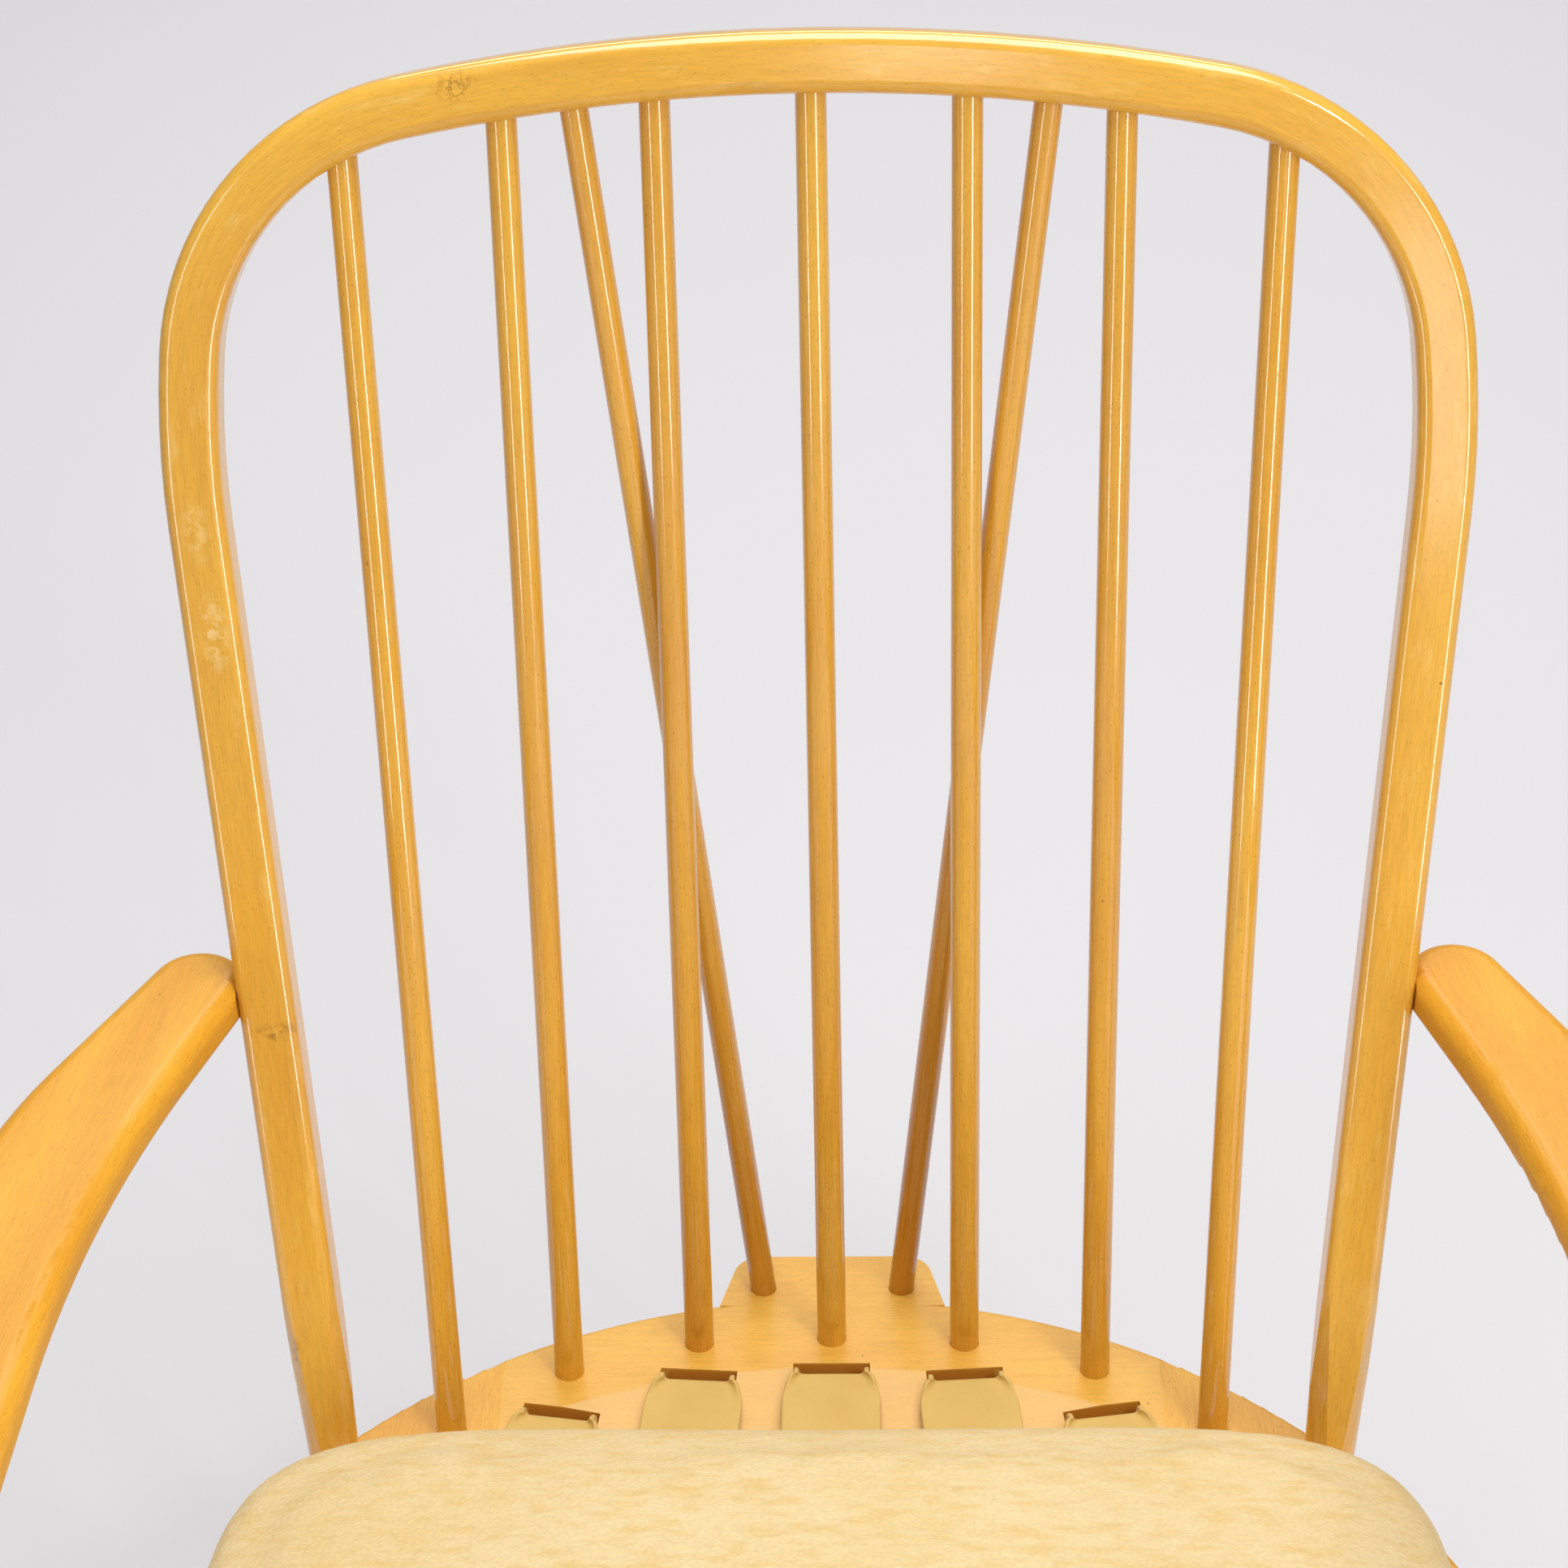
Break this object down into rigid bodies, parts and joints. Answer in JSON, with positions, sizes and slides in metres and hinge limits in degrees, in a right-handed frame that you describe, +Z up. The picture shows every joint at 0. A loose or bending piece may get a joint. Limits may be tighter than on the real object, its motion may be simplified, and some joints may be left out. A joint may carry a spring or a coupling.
{
  "type": "windsor armchair",
  "caption": "Low high-back hoop armchair with turned spindles, paddle arms, a webbed seat frame and a loose box cushion that lifts off.",
  "frame": {"origin": "on the floor under the middle of the chair's bounding box", "axes": "+Z up, -Y towards the front where the sitter faces, +X to the picture's right; the seat falls back by 4 degrees"},
  "size_m": [0.7546, 0.7416, 0.9867],
  "materials": {
    "beech": "pale beech under a satin honey lacquer",
    "webbing": "tan elastic webbing",
    "pin": "plain drawn steel rod",
    "cover": "cream chenille weave",
    "foam": "soft open-cell foam"
  },
  "bodies": {
    "frame": {"bow": "beech", "stick_1": "beech", "stick_2": "beech", "stick_3": "beech", "stick_4": "beech", "stick_5": "beech", "stick_6": "beech", "stick_7": "beech", "brace_left": "beech", "brace_right": "beech", "rear_rail": "beech", "tail_block": "beech", "side_rail_left": "beech", "side_rail_right": "beech", "front_rail": "beech", "frame_dowels": "beech", "arm_left": "beech", "arm_right": "beech", "arm_dowels": "beech", "post_left": "beech", "post_right": "beech", "spindle_left_rear": "beech", "spindle_left_front": "beech", "spindle_right_rear": "beech", "spindle_right_front": "beech", "leg_front_left": "beech", "leg_front_right": "beech", "leg_rear_left": "beech", "leg_rear_right": "beech", "side_stretcher_left": "beech", "side_stretcher_right": "beech", "cross_stretcher": "beech", "strap_1": "webbing", "strap_2": "webbing", "strap_3": "webbing", "strap_4": "webbing", "strap_5": "webbing", "strap_pins": "pin"},
    "cushion": {"cushion_cover": "cover", "cushion_foam": "foam"}
  },
  "joints": [
    {"name": "cushion_lift", "type": "slide", "parent": "frame", "child": "cushion", "axis": [0, 0, 1], "range_m": [0, 0.32]}
  ]
}
